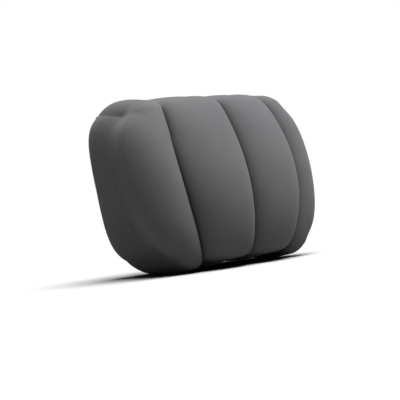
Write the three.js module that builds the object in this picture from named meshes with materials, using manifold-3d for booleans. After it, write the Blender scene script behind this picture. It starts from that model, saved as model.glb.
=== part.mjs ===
// Lumbar support cushion: a memory-foam block in a zipped fabric cover, with a buckled strap behind.
//
// Millimetres, +X to the sitter's left, -Y towards the sitter, +Z up. The cushion stands on its lower edge and
// the group is placed so that its origin is the middle of the bottom of its box.
//
// The cover is four upright puffed lobes in front, a side band round the edge and a flat back. One function,
// frontPoint, gives the lobed face, and another, bandPoint, carries the face's edge round to the flat back.
// Both take an inset, so that the cover, the liner and the foam are layers of one shape.
import * as THREE from 'three';
import { mergeVertices } from 'three/addons/utils/BufferGeometryUtils.js';
import Module from 'manifold-3d';

const wasm = await Module();
wasm.setup();

// ---------------------------------------------------------------- cushion
const CUSHION_HEIGHT = 280;
const PLAN_RADIUS = 350; // arc that the face's edge follows, seen from above
const PLAN_HALF_ANGLE = THREE.MathUtils.degToRad(27.5);
const BACK_DEPTH = 105; // flat back, behind the arc's nearest point
const FACE_DOME = 76; // crown of the face at mid height
const EDGE_RISE = 48; // how far the face stands up from its edge
const DOME_SLUMP = 0.06; // shifts the crown downwards, as a share of the dome
const EDGE_POWER = 4.2; // squareness of the rise at top and bottom
const SIDE_POWER = 3.2; // squareness of the rise at left and right
const OUTLINE_POWER = 5.5; // squareness of the outline, seen from the front
const EDGE_BOW = -43; // how far the edge bows forward in side view
const EDGE_BOW_CENTRE = 0.25; // where that bow starts, as a share of the half height
const TOP_SPREAD = 0.075; // how much wider the plan is at the top
const LOBE_SPLIT = 0.56; // crease between an inner and an outer lobe, as a share of the half width
const LOBE_ROUND = 2.05; // roundness of one lobe's section
const CREASE_LEVEL = 0.8; // crease height as a share of the crest's
const CREASE_LEVEL_DROP = 0.2; // how much deeper the crease is at top and bottom
const CREASE_NOTCH_TOP = 0.045; // dip of the outline at a crease, as a share of the half height
const CREASE_NOTCH_BOTTOM = 0.045;
const OUTER_LOBE_RISE = 8; // how far the outer lobes stand above the inner ones
const OUTER_LOBE_DROP = 16; // and how far they hang below them
const BAND_FULLNESS = 0.07; // outward swell of the side band
const BACK_CORNER_SIDE = 9; // squareness of the turn from band to back, at the sides
const BACK_CORNER_TOP = 3.5; // and at top and bottom
const BACK_OVERSHOOT = 20; // the rounded band is cut flat this far before its own crown
const BACK_PANEL_SHARE = 0.78; // back panel's outline as a share of the face's

// ---------------------------------------------------------------- layers
const COVER_THICKNESS = 2; // fabric with its bonded wadding
const LINER_THICKNESS = 0.8;
const LAYER_GAP = 0.9; // between cover and liner, and liner and foam
const BACK_STACK = 2; // extra room behind the foam for the zip
const SEAM_GAP = 0.4; // between two panels at their seam

// ---------------------------------------------------------------- zip
const ZIP_HEIGHT = -72; // of its centre line, from the cushion's middle
const ZIP_END_INSET = 26; // from the back panel's side edge to the end of the coils
const TAPE_WIDTH = 12;
const TAPE_OVERRUN = 6; // of the tapes past each end of the coils
const TAPE_THICKNESS = 0.6;
const COIL_WIDTH = 1.7;
const COIL_THICKNESS = 1.4;
const COIL_GAP = 0.3;
const SLIDER_LENGTH = 10;
const SLIDER_WIDTH = 8.4;
const SLIDER_PLATE = 1;
const SLIDER_MARGIN = 0.4; // between the slider and the panel's edge on each side
const BRIDGE_LENGTH = 6.2;
const BRIDGE_WIDTH = 1.8;
const BRIDGE_WALL = 1.1;
const PULL_LENGTH = 24;
const PULL_WIDTH = 7;
const PULL_THICKNESS = 1;
const PULL_BAR = 1; // width of the bar that turns under the bridge
const PULL_WINDOW = 3.4; // width of the window behind that bar
const GRIP_HOLE = 8.5; // length of the hole at the free end
const GRIP_EDGE = 2.5; // from the hole to that end
const STOP_LENGTH = 2.4;

// ---------------------------------------------------------------- strap and buckle
const STRAP_HEIGHT = 22; // of its centre line, from the cushion's middle
const STRAP_WIDTH = 30;
const STRAP_THICKNESS = 1.5;
const STRAP_END_INSET = 8; // from the back panel's side edge to the strap's sewn end
const STRAP_LIE = 0.35; // how far the slack strap stands off the panel, beyond the rest gap
const STRAP_FOLD_GAP = 0.5; // between the strap and its folded-back end
const STRAP_SHORT_TAIL = 32; // fold behind the female half
const TAIL_TO_PATCH = 4.5; // from the free end to the sewn patch
const BUCKLE_THICKNESS = 8.4;
const BUCKLE_SIDE = 4.5; // beside the strap's slot
const BUCKLE_WALL = 2;
const SOCKET_WALL = 1.5; // above and below the tongue
const FEMALE_MOUTH = -8; // where the two halves meet, from the cushion's middle
const FEMALE_LENGTH = 36;
const MALE_BAR = 12.5;
const BAR_RADIUS = 1.5;
const SLOT_LENGTH = 5.5;
const SLOT_MARGIN = 1; // beside the strap, in its slot
const BUCKLE_CLEARANCE = 0.4;
const WINDOW_INSET = [3, 7]; // of the side windows, from the socket's end and its mouth
const TONGUE_LENGTH = 20;
const TONGUE_WIDTH = 8;
const PRONG_LENGTH = 24;
const PRONG_WIDTH = 5;
const PRONG_PAD = [9, 17]; // start and end of the thumb pad, from the prong's root
const PRONG_PAD_RISE = 2.5;
const PRONG_NECK = 5; // straight length between the root and the slope up to the pad
const KEEPER_WIDTH = 9;
const KEEPER_WALL = 1.4;
const KEEPER_PLACE = 62; // middle of the keeper, from the cushion's middle
const KEEPER_CLEARANCE = 0.4;
const PATCH_LENGTH = 26;
const PATCH_MARGIN = 2; // of a patch beyond the strap's edges
const PATCH_THICKNESS = 1;
const REST_GAP = 0.3;

// ---------------------------------------------------------------- label
const LABEL_FROM = [-98, -50]; // left and lower edge, from the cushion's middle
const LABEL_SIZE = [30, 18];
const LABEL_THICKNESS = 0.4;

// ---------------------------------------------------------------- grid of the soft solids
const LOBE_STEPS = 6;
const HEIGHT_STEPS = 12;
const BAND_RINGS = [1, 0.985, 0.95, 0.9, 0.84, BACK_PANEL_SHARE];

// ---------------------------------------------------------------- materials
const darkGrey = { color: 0x4c4c4d, roughness: 0.95, metalness: 0 };
const FABRIC = new THREE.MeshStandardMaterial({ name: 'cover_knit', ...darkGrey });
const MESH_FABRIC = new THREE.MeshStandardMaterial({ name: 'spacer_mesh', ...darkGrey, color: 0x333334 });
const FOAM = new THREE.MeshStandardMaterial({ name: 'memory_foam', color: 0xe8e2cf, roughness: 1 });
const LINER = new THREE.MeshStandardMaterial({ name: 'liner_jersey', color: 0xdcdcda, roughness: 1 });
const WEBBING = new THREE.MeshStandardMaterial({ name: 'webbing', color: 0x1d1d1e, roughness: 0.85 });
const ACETAL = new THREE.MeshStandardMaterial({ name: 'acetal', color: 0x161617, roughness: 0.45 });
const NYLON = new THREE.MeshStandardMaterial({ name: 'zip_nylon', color: 0x242425, roughness: 0.6 });
const ZINC = new THREE.MeshStandardMaterial({ name: 'zip_zinc', color: 0x232324, roughness: 0.4, metalness: 0.6 });
const LABEL = new THREE.MeshStandardMaterial({ name: 'label_satin', color: 0xd8d8d6, roughness: 0.6 });

// ================================================================ the cushion's shape
const HALF_HEIGHT = CUSHION_HEIGHT / 2;
const HALF_ARC = PLAN_RADIUS * PLAN_HALF_ANGLE;
const FACE_DEPTH = FACE_DOME + EDGE_RISE;
const LOBE_EDGES = [-1, -LOBE_SPLIT, 0, LOBE_SPLIT, 1];
const BACK_HALF_WIDTH = BACK_PANEL_SHARE * PLAN_RADIUS * Math.sin(PLAN_HALF_ANGLE);

/** Quarter of a superellipse: 1 in the middle, 0 at x = 1 and -1. */
function swell(x, power) {
  return (1 - Math.min(Math.abs(x), 1) ** power) ** (1 / power);
}

/** Pulls the square -1..1 in to the rounded outline, most at its corners. */
function roundCorners(s, t) {
  const reach = Math.max(Math.abs(s), Math.abs(t));
  if (reach === 0) return [0, 0];
  const edge = ((Math.abs(s) / reach) ** OUTLINE_POWER + (Math.abs(t) / reach) ** OUTLINE_POWER)
    ** (-1 / OUTLINE_POWER);
  const pull = 1 + (edge - 1) * reach ** 4;
  return [s * pull, t * pull];
}

/** The curved mid surface that the face rises from. Its rim is the seam between the face and the band.
 * scallop is how much of the lobes shows in its height: all at the rim, none at the back. */
function basePoint(s, t, lobe, inset, scallop = 1) {
  const [across, up] = roundCorners(s, t);
  const outward = Math.max(0, (Math.abs(s) - LOBE_SPLIT) / (1 - LOBE_SPLIT)) ** 2;
  const a = across - Math.sign(across) * outward * inset / HALF_ARC;
  const height = up * (1 - inset / HALF_HEIGHT);
  const angle = a * PLAN_HALF_ANGLE * (1 + TOP_SPREAD * height);
  const notch = up > 0 ? CREASE_NOTCH_TOP : CREASE_NOTCH_BOTTOM;
  const hang = up > 0 ? OUTER_LOBE_RISE : OUTER_LOBE_DROP;
  const dip = HALF_HEIGHT * notch * (1 - lobe.puff);
  const overhang = lobe.outer ? hang * lobe.puff : 0;
  const z = height * (HALF_HEIGHT + scallop * (overhang - dip));
  const y = PLAN_RADIUS * (1 - Math.cos(angle)) + EDGE_BOW * (height - EDGE_BOW_CENTRE) ** 2;
  return { angle, up, point: new THREE.Vector3(PLAN_RADIUS * Math.sin(angle), y, z) };
}

/** A point of the lobed face, inset below its outer surface. */
function frontPoint(s, t, lobe, inset) {
  const { angle, up, point } = basePoint(s, t, lobe, inset);
  const crease = CREASE_LEVEL - CREASE_LEVEL_DROP * up * up - 1.5 * inset / FACE_DEPTH;
  const across = (crease + (1 - crease) * lobe.puff) * swell(s, SIDE_POWER);
  const dome = FACE_DOME * (1 - t * t) * (1 - DOME_SLUMP * t);
  const rise = (dome + EDGE_RISE * swell(t, EDGE_POWER)) * across * (1 - inset / FACE_DEPTH);
  return point.add(new THREE.Vector3(Math.sin(angle) * rise, -Math.cos(angle) * rise, 0));
}

/** A point of the band and back: ring 1 is the face's rim and smaller rings lie further round towards the
 * middle of the back. s and t are on the rim of the square. */
function bandPoint(s, t, ring, lobe, inset, backInset = inset) {
  const topShare = t ** 4 / (s ** 4 + t ** 4);
  const turn = swell(ring, BACK_CORNER_SIDE + (BACK_CORNER_TOP - BACK_CORNER_SIDE) * topShare);
  const { point } = basePoint(s, t, lobe, inset, 1 - turn);
  const size = ring * (1 + BAND_FULLNESS * 4 * turn * (1 - turn));
  const back = BACK_DEPTH - backInset;
  const y = point.y + (back + BACK_OVERSHOOT - point.y) * turn;
  return new THREE.Vector3(point.x * size, Math.min(y, back), point.z * size);
}

// ================================================================ closed solids
/** Steps from -1 to 1, closer together at the ends. */
function easedSteps(count, ease) {
  return Array.from({ length: count + 1 }, (_, i) => {
    const u = -1 + (2 * i) / count;
    return ease * Math.sin((u * Math.PI) / 2) + (1 - ease) * u;
  });
}

const LOBE_LINES = easedSteps(LOBE_STEPS, 1);
const HEIGHT_LINES = easedSteps(HEIGHT_STEPS, 0.6);

/** The s values of one lobe with its fullness at each, trimmed for a seam at its creases. */
function lobeColumns(index, trim = 0) {
  const low = LOBE_EDGES[index] + (index > 0 ? trim : 0);
  const high = LOBE_EDGES[index + 1] - (index < 3 ? trim : 0);
  return LOBE_LINES.map((across) => ({
    s: (low + high) / 2 + (across * (high - low)) / 2,
    outer: index === 0 || index === 3,
    puff: swell(across, LOBE_ROUND),
  }));
}

/** All columns across the face, each crease once. */
function allColumns() {
  return [0, 1, 2, 3].flatMap((index) => lobeColumns(index).slice(index === 0 ? 0 : 1));
}

/** The rim of the square as a closed walk, left to right along the bottom and back along the top. */
function rimWalk(columns) {
  const first = columns[0];
  const last = columns[columns.length - 1];
  const sides = HEIGHT_LINES.slice(1, -1);
  const bottom = columns.map((column) => ({ ...column, t: -1 }));
  const right = sides.map((t) => ({ ...last, t }));
  const top = columns.map((column) => ({ ...column, t: 1 })).reverse();
  const left = sides.map((t) => ({ ...first, t })).reverse();
  return [...bottom, ...right, ...top, ...left];
}

/** Collects triangles and makes one geometry of them. */
class Skin {
  constructor() {
    this.corners = [];
  }

  /** Two triangles, split from the corner that lies furthest out, so that nested layers fold alike. */
  quad(a, b, c, d) {
    const reach = (point) => Math.abs(point.x) + Math.abs(point.z);
    if (Math.max(reach(a), reach(c)) > Math.max(reach(b), reach(d))) {
      this.triangle(a, b, c);
      this.triangle(a, c, d);
    } else {
      this.triangle(b, c, d);
      this.triangle(b, d, a);
    }
  }

  triangle(a, b, c) {
    this.corners.push(a, b, c);
  }

  /** Quads between rows of points. A closed sheet also joins each row's end to its start. */
  sheet(rows, closed = false) {
    for (let i = 0; i + 1 < rows.length; i += 1) {
      const count = rows[i].length;
      for (let j = 0; j < (closed ? count : count - 1); j += 1) {
        const k = (j + 1) % count;
        this.quad(rows[i][j], rows[i][k], rows[i + 1][k], rows[i + 1][j]);
      }
    }
  }

  geometry() {
    const raw = new THREE.BufferGeometry().setFromPoints(this.corners);
    const welded = mergeVertices(raw, 1e-3);
    return withoutSlivers(welded);
  }
}

/** Drops triangles that welding has folded to a line. */
function withoutSlivers(geometry) {
  const index = geometry.getIndex().array;
  const kept = [];
  for (let i = 0; i < index.length; i += 3) {
    const [a, b, c] = [index[i], index[i + 1], index[i + 2]];
    if (a !== b && b !== c && c !== a) kept.push(a, b, c);
  }
  geometry.setIndex(kept);
  return geometry;
}

/** The whole cushion, inset all round, as one closed body. */
function cushionBody(inset, backInset) {
  const columns = allColumns();
  const skin = new Skin();
  const rows = HEIGHT_LINES.map((t) => columns.map((column) => frontPoint(column.s, t, column, inset)));
  skin.sheet(rows);
  const walk = rimWalk(columns);
  const rings = BAND_RINGS.map((ring) => walk.map((at) => (
    bandPoint(at.s, at.t, ring, at, inset, backInset)
  )));
  rings.reverse();
  skin.sheet(rings, true);
  const inner = rings[0];
  const middle = new THREE.Vector3(0, BACK_DEPTH - backInset, 0);
  inner.forEach((point, i) => skin.triangle(middle, inner[(i + 1) % inner.length], point));
  return skin.geometry();
}

/** One lobe of the cover: the face between two creases, as thick as the cover. */
function lobePanel(index) {
  const columns = lobeColumns(index, SEAM_GAP / 2 / HALF_ARC);
  const layer = (inset) => HEIGHT_LINES.map((t) => columns.map((column) => (
    frontPoint(column.s, t, column, inset).add(new THREE.Vector3(0, -SEAM_GAP / 2, 0))
  )));
  return shell(layer(0), layer(COVER_THICKNESS));
}

/** Closes an open sheet and the same sheet further in to a body with walls round the edge. */
function shell(outer, inner) {
  const skin = new Skin();
  skin.sheet(outer);
  skin.sheet(inner.map((row) => [...row].reverse()));
  const last = outer.length - 1;
  const end = outer[0].length - 1;
  skin.sheet([inner[0], outer[0]]);
  skin.sheet([outer[last], inner[last]]);
  skin.sheet([outer.map((row) => row[0]), inner.map((row) => row[0])]);
  skin.sheet([inner.map((row) => row[end]), outer.map((row) => row[end])]);
  return skin.geometry();
}

/** The side band: a ring from the face's rim round to the back panel. */
function sideBand() {
  const walk = rimWalk(allColumns());
  const layer = (inset) => BAND_RINGS.map((ring) => walk.map((at) => (
    bandPoint(at.s, at.t, ring, at, inset)
  )));
  const outer = layer(0);
  const inner = layer(COVER_THICKNESS).reverse();
  const skin = new Skin();
  skin.sheet([...outer, ...inner, outer[0]].reverse(), true);
  return skin.geometry();
}

/** Outline of the flat back, a seam's width inside the band. */
function backOutline() {
  const walk = rimWalk(allColumns());
  const share = BACK_PANEL_SHARE - SEAM_GAP / HALF_HEIGHT;
  return walk.map((at) => {
    const point = bandPoint(at.s, at.t, share, at, COVER_THICKNESS);
    return new THREE.Vector2(point.x, point.z);
  });
}

// ================================================================ cutting and joining
function toManifold(geometry) {
  const bare = geometry.clone();
  bare.deleteAttribute('normal');
  bare.deleteAttribute('uv');
  const merged = withoutSlivers(mergeVertices(bare, 1e-4));
  return new wasm.Manifold(new wasm.Mesh({
    numProp: 3,
    vertProperties: new Float32Array(merged.getAttribute('position').array),
    triVerts: new Uint32Array(merged.getIndex().array),
  }));
}

function toGeometry(solid) {
  const mesh = solid.getMesh();
  const geometry = new THREE.BufferGeometry();
  geometry.setAttribute('position', new THREE.BufferAttribute(mesh.vertProperties, 3));
  geometry.setIndex(new THREE.BufferAttribute(mesh.triVerts, 1));
  return geometry;
}

function cut(geometry, ...tools) {
  return toGeometry(tools.reduce((solid, tool) => solid.subtract(toManifold(tool)), toManifold(geometry)));
}

function join(geometry, ...others) {
  return toGeometry(others.reduce((solid, other) => solid.add(toManifold(other)), toManifold(geometry)));
}

/** A box between two values on each axis. */
function block([x0, x1], [y0, y1], [z0, z1]) {
  const box = new THREE.BoxGeometry(x1 - x0, y1 - y0, z1 - z0);
  return box.translate((x0 + x1) / 2, (y0 + y1) / 2, (z0 + z1) / 2);
}

/** An outline in X and Z, thick along Y from y0 to y1. */
function plate(outline, [y0, y1]) {
  const body = new THREE.ExtrudeGeometry(new THREE.Shape(outline), { depth: y1 - y0, bevelEnabled: false });
  return body.rotateX(Math.PI / 2).translate(0, y1, 0);
}

/** A rounded rectangle in X and Z, thick along Y. */
function roundedPlate([x0, x1], [y0, y1], [z0, z1], radius) {
  const shape = new THREE.Shape();
  shape.moveTo(x0 + radius, z0);
  shape.lineTo(x1 - radius, z0);
  shape.absarc(x1 - radius, z0 + radius, radius, -Math.PI / 2, 0);
  shape.absarc(x1 - radius, z1 - radius, radius, 0, Math.PI / 2);
  shape.absarc(x0 + radius, z1 - radius, radius, Math.PI / 2, Math.PI);
  shape.absarc(x0 + radius, z0 + radius, radius, Math.PI, Math.PI * 1.5);
  const outline = shape.getPoints(4).slice(0, -1);
  return plate(outline, [y0, y1]);
}

/** Webbing laid on edge: a route in X and Y with a thickness, as wide as the strap along Z. */
function webbing(route, thickness, width) {
  const side = (sign) => route.map((point, i) => {
    const before = route[Math.max(i - 1, 0)];
    const after = route[Math.min(i + 1, route.length - 1)];
    const along = new THREE.Vector2().subVectors(after, before).normalize();
    return new THREE.Vector2(
      point.x - (sign * along.y * thickness) / 2,
      point.y + (sign * along.x * thickness) / 2,
    );
  });
  const shape = new THREE.Shape([...side(1), ...side(-1).reverse()]);
  const body = new THREE.ExtrudeGeometry(shape, { depth: width, bevelEnabled: false });
  return body.translate(0, 0, -width / 2);
}

// ================================================================ assembly
const MERGE = 0.1; // how far two joined blocks reach into each other

function add(parent, name, geometry, material) {
  const mesh = new THREE.Mesh(geometry, material);
  mesh.name = name;
  parent.add(mesh);
  return mesh;
}

// ---------------------------------------------------------------- foam, liner and cover
const LINER_INSET = COVER_THICKNESS + LAYER_GAP;
const FOAM_INSET = LINER_INSET + LINER_THICKNESS + LAYER_GAP;

const ZIP_HALF = BACK_HALF_WIDTH - ZIP_END_INSET;
const ZIP_SLOT = SLIDER_WIDTH + 2 * SLIDER_MARGIN; // opening between the two back panels
const BAG_SLIT = 6; // height of the liner's slit

function addCushion(parent) {
  add(parent, 'foam_core', cushionBody(FOAM_INSET, FOAM_INSET + BACK_STACK), FOAM);
  // The liner is a bag, left open by a slit across its back that the foam goes in through.
  const bag = cushionBody(LINER_INSET, LINER_INSET + BACK_STACK);
  const room = cushionBody(LINER_INSET + LINER_THICKNESS, LINER_INSET + LINER_THICKNESS + BACK_STACK);
  const slitDepth = [BACK_DEPTH - LINER_INSET - BACK_STACK - 3 * LINER_THICKNESS, BACK_DEPTH];
  const slitHeights = [ZIP_HEIGHT - BAG_SLIT / 2, ZIP_HEIGHT + BAG_SLIT / 2];
  const slit = block([-ZIP_HALF, ZIP_HALF], slitDepth, slitHeights);
  add(parent, 'foam_liner', cut(bag, room, slit), LINER);
  for (let index = 0; index < 4; index += 1) {
    add(parent, `front_lobe_${index + 1}`, lobePanel(index), FABRIC);
  }
  add(parent, 'side_band', sideBand(), FABRIC);
  addBackPanels(parent);
}

function addBackPanels(parent) {
  const outline = backOutline();
  const depth = [BACK_DEPTH - COVER_THICKNESS, BACK_DEPTH];
  const whole = plate(outline, depth);
  const wide = [-2 * HALF_ARC, 2 * HALF_ARC];
  const cutDepth = [depth[0] - 1, depth[1] + 1];
  const top = ZIP_HEIGHT + ZIP_SLOT / 2;
  const bottom = ZIP_HEIGHT - ZIP_SLOT / 2;
  add(parent, 'back_panel', cut(whole, block(wide, cutDepth, [-CUSHION_HEIGHT, top])), MESH_FABRIC);
  add(parent, 'back_hem_panel', cut(whole, block(wide, cutDepth, [bottom, CUSHION_HEIGHT])), MESH_FABRIC);
}

// ---------------------------------------------------------------- zip
function addZip(parent) {
  const zip = new THREE.Group();
  zip.position.set(0, BACK_DEPTH, ZIP_HEIGHT);
  parent.add(zip);
  const half = ZIP_HALF;
  const tapeTop = -COVER_THICKNESS - REST_GAP;
  const tapeDepth = [tapeTop - TAPE_THICKNESS, tapeTop];
  const coilDepth = [tapeTop + REST_GAP, tapeTop + REST_GAP + COIL_THICKNESS];
  const tapeRun = [-half - TAPE_OVERRUN, half + TAPE_OVERRUN];
  for (const [side, sign] of [['upper', 1], ['lower', -1]]) {
    const tapeHeights = [COIL_GAP / 2, COIL_GAP / 2 + TAPE_WIDTH].map((z) => z * sign).sort((a, b) => a - b);
    const coilHeights = [COIL_GAP / 2, COIL_GAP / 2 + COIL_WIDTH].map((z) => z * sign).sort((a, b) => a - b);
    add(zip, `zip_tape_${side}`, block(tapeRun, tapeDepth, tapeHeights), NYLON);
    add(zip, `zip_coil_${side}`, block([-half, half], coilDepth, coilHeights), NYLON);
  }
  const stopHeights = [-COIL_WIDTH - COIL_GAP, COIL_WIDTH + COIL_GAP];
  for (const [side, sign] of [['left', -1], ['right', 1]]) {
    const ends = [half + REST_GAP, half + REST_GAP + STOP_LENGTH].map((x) => x * sign).sort((a, b) => a - b);
    add(zip, `zip_stop_${side}`, block(ends, coilDepth, stopHeights), ZINC);
  }
  const slider = new THREE.Group();
  slider.position.x = half - SLIDER_LENGTH / 2 - REST_GAP;
  zip.add(slider);
  addSlider(slider, coilDepth[0]);
}

/** The slider straddles the coils: a plate over the slot, two flanges in it and a bridge for the pull. */
function addSlider(parent, coilFoot) {
  const run = [-SLIDER_LENGTH / 2, SLIDER_LENGTH / 2];
  const halfWidth = SLIDER_WIDTH / 2;
  const plateDepth = [REST_GAP, REST_GAP + SLIDER_PLATE];
  const top = plateDepth[1];
  const flangeIn = COIL_WIDTH + COIL_GAP / 2 + REST_GAP;
  const flangeDepth = [coilFoot, plateDepth[0] + MERGE];
  const bridgeHalf = BRIDGE_LENGTH / 2;
  const barCentre = top + REST_GAP + PULL_THICKNESS / 2;
  const bridgeTop = barCentre + PULL_THICKNESS / 2 + REST_GAP + BRIDGE_WALL;
  const body = join(
    roundedPlate(run, plateDepth, [-halfWidth, halfWidth], 2),
    block(run, flangeDepth, [flangeIn, halfWidth]),
    block(run, flangeDepth, [-halfWidth, -flangeIn]),
    block([-bridgeHalf, bridgeHalf], [top - MERGE, bridgeTop], [-BRIDGE_WIDTH / 2, BRIDGE_WIDTH / 2]),
  );
  const eyeHalf = bridgeHalf - BRIDGE_WALL;
  const eye = block([-eyeHalf, eyeHalf], [top, bridgeTop - BRIDGE_WALL], [-BRIDGE_WIDTH, BRIDGE_WIDTH]);
  add(parent, 'zip_slider', cut(body, eye), ZINC);
  // The pull lies back over the closed zip and turns on its bar under the bridge.
  const pullDepth = [barCentre - PULL_THICKNESS / 2, barCentre + PULL_THICKNESS / 2];
  const pullRun = [-PULL_LENGTH, PULL_BAR / 2];
  const tab = roundedPlate(pullRun, pullDepth, [-PULL_WIDTH / 2, PULL_WIDTH / 2], PULL_THICKNESS / 2 - 0.05);
  const throughDepth = [pullDepth[0] - PULL_THICKNESS, pullDepth[1] + PULL_THICKNESS];
  const window = block(
    [-bridgeHalf - BRIDGE_WALL - MERGE, -PULL_BAR / 2],
    throughDepth,
    [-PULL_WINDOW / 2, PULL_WINDOW / 2],
  );
  const gripRun = [-PULL_LENGTH + GRIP_EDGE, -PULL_LENGTH + GRIP_EDGE + GRIP_HOLE];
  const gripHalf = PULL_WINDOW / 2 - MERGE;
  const grip = roundedPlate(gripRun, throughDepth, [-gripHalf, gripHalf], gripHalf - 2 * MERGE);
  add(parent, 'zip_pull', cut(tab, window, grip), ZINC);
}

// ---------------------------------------------------------------- strap
const STRAP_LOW = REST_GAP + STRAP_THICKNESS / 2 + STRAP_LIE;
const TURN_RADIUS = BAR_RADIUS * Math.SQRT2 + REST_GAP + STRAP_THICKNESS / 2;
const BAR_LEVEL = STRAP_LOW + TURN_RADIUS;
const STRAP_DOUBLED = STRAP_LOW + STRAP_THICKNESS + STRAP_FOLD_GAP;
const STRAP_REACH = BACK_HALF_WIDTH - STRAP_END_INSET;
const PATCH_REACH = STRAP_REACH + PATCH_MARGIN + 1; // outer end of a sewn patch
const STRAP_TAIL = PATCH_REACH - PATCH_LENGTH - TAIL_TO_PATCH - MALE_BAR; // fold over the right strap
const FEMALE_BAR = FEMALE_MOUTH - FEMALE_LENGTH + BAR_RADIUS;

/** A strap that runs in along the back, turns round a bar and folds back over itself.
 * sign is the side it comes from: -1 for the left and 1 for the right. */
function strapRoute(sign, bar, tail) {
  const route = [new THREE.Vector2(STRAP_REACH * sign, STRAP_LOW), new THREE.Vector2(bar, STRAP_LOW)];
  const turnSteps = 8;
  for (let i = 1; i <= turnSteps; i += 1) {
    const angle = (Math.PI * i) / turnSteps;
    route.push(new THREE.Vector2(
      bar - sign * TURN_RADIUS * Math.sin(angle),
      BAR_LEVEL - TURN_RADIUS * Math.cos(angle),
    ));
  }
  const settle = 14;
  const easeSteps = 6;
  const high = BAR_LEVEL + TURN_RADIUS;
  for (let i = 1; i <= easeSteps; i += 1) {
    const u = i / easeSteps;
    const drop = (1 - Math.cos(Math.PI * u)) / 2;
    route.push(new THREE.Vector2(bar + sign * settle * u, high + (STRAP_DOUBLED - high) * drop));
  }
  route.push(new THREE.Vector2(bar + sign * tail, STRAP_DOUBLED));
  return route;
}

function addStrap(parent) {
  const left = strapRoute(-1, FEMALE_BAR, STRAP_SHORT_TAIL).reverse();
  const right = strapRoute(1, MALE_BAR, STRAP_TAIL);
  add(parent, 'strap_left', webbing(left, STRAP_THICKNESS, STRAP_WIDTH), WEBBING);
  add(parent, 'strap_right', webbing(right, STRAP_THICKNESS, STRAP_WIDTH), WEBBING);
  const patchFoot = STRAP_LOW + STRAP_THICKNESS / 2 + REST_GAP;
  const patchDepth = [patchFoot, patchFoot + PATCH_THICKNESS];
  const patchHeights = [-STRAP_WIDTH / 2 - PATCH_MARGIN, STRAP_WIDTH / 2 + PATCH_MARGIN];
  for (const [side, sign] of [['left', -1], ['right', 1]]) {
    const ends = [PATCH_REACH, PATCH_REACH - PATCH_LENGTH].map((x) => x * sign).sort((a, b) => a - b);
    add(parent, `strap_patch_${side}`, roundedPlate(ends, patchDepth, patchHeights, 2), WEBBING);
  }
  const keeperRun = [KEEPER_PLACE - KEEPER_WIDTH / 2, KEEPER_PLACE + KEEPER_WIDTH / 2];
  const holeSlack = STRAP_THICKNESS / 2 + STRAP_FOLD_GAP / 2;
  const holeDepth = [STRAP_LOW - holeSlack, STRAP_DOUBLED + holeSlack];
  const holeHeights = [-STRAP_WIDTH / 2 - KEEPER_CLEARANCE, STRAP_WIDTH / 2 + KEEPER_CLEARANCE];
  const ring = roundedPlate(
    keeperRun,
    [REST_GAP / 2, holeDepth[1] + KEEPER_WALL],
    [holeHeights[0] - KEEPER_WALL, holeHeights[1] + KEEPER_WALL],
    1,
  );
  const hole = block([keeperRun[0] - 1, keeperRun[1] + 1], holeDepth, holeHeights);
  add(parent, 'strap_keeper', cut(ring, hole), ACETAL);
}

// ---------------------------------------------------------------- buckle
const BUCKLE_WIDTH = STRAP_WIDTH + 2 * (SLOT_MARGIN + BUCKLE_SIDE);
const BUCKLE_DEPTH = [BAR_LEVEL - BUCKLE_THICKNESS / 2, BAR_LEVEL + BUCKLE_THICKNESS / 2];
const BUCKLE_HALF = BUCKLE_WIDTH / 2;
const SOCKET_HALF = BUCKLE_HALF - BUCKLE_WALL;
const SLOT_HALF = STRAP_WIDTH / 2 + SLOT_MARGIN;

/** What is cut away round a buckle's strap bar: the slot and the room above and below the bar.
 * bar is the bar's middle and sign the side that the strap comes from. */
function barCuts(bar, sign) {
  const beyond = [BUCKLE_DEPTH[0] - 1, BUCKLE_DEPTH[1] + 1];
  const inner = bar - sign * BAR_RADIUS;
  const ends = (from, to) => [from, to].sort((a, b) => a - b);
  const across = [-SLOT_HALF, SLOT_HALF];
  const outside = ends(bar + sign * (BAR_RADIUS + 1), inner - sign * SLOT_LENGTH);
  return [
    block(ends(inner, inner - sign * SLOT_LENGTH), beyond, across),
    block(outside, [beyond[0], BAR_LEVEL - BAR_RADIUS], across),
    block(outside, [BAR_LEVEL + BAR_RADIUS, beyond[1]], across),
  ];
}

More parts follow.
